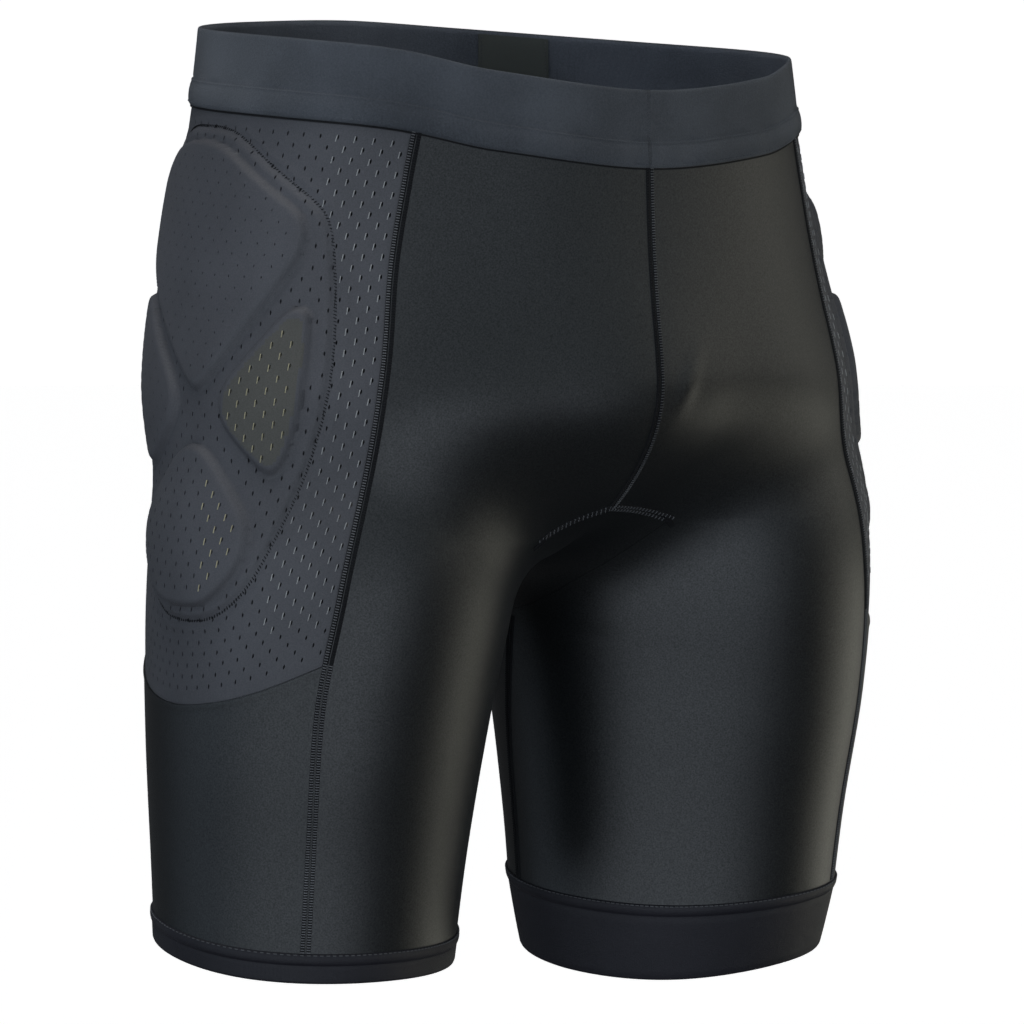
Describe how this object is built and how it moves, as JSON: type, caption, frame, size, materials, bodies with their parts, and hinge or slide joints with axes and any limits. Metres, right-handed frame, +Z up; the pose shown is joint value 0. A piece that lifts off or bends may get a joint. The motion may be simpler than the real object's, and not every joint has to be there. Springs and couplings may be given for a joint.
{
  "type": "padded protective shorts",
  "caption": "Close-fitting sports shorts in worn shape, with an elastic waistband, open mesh side panels over lobed hip pads, and elastic leg bands.",
  "frame": {"origin": "middle of the waist opening, level with the top of the waistband at the sides", "axes": "+Z up the wearer's body, -Y to the wearer's front, +X to the wearer's left"},
  "size_m": [0.412, 0.2516, 0.4646],
  "materials": {
    "elastic": "fine ribbed knit, matt",
    "label": "smooth woven, matt",
    "smooth_knit": "smooth stretch knit, satin",
    "mesh_knit": "open knit with slit holes, soft sheen",
    "foam": "closed-cell foam, matt",
    "leg_elastic": "elastic knit, matt"
  },
  "bodies": {
    "root": {"waistband": "elastic", "size_label": "label", "front_panel_right": "smooth_knit", "front_panel_left": "smooth_knit", "back_panel_right": "smooth_knit", "back_panel_left": "smooth_knit", "crotch_gusset": "smooth_knit", "side_mesh_right": "mesh_knit", "side_mesh_left": "mesh_knit", "thigh_panel_right": "smooth_knit", "thigh_panel_left": "smooth_knit", "hip_pad_right": "foam", "hip_pad_left": "foam", "leg_band_right": "leg_elastic", "leg_band_left": "leg_elastic"}
  },
  "joints": []
}
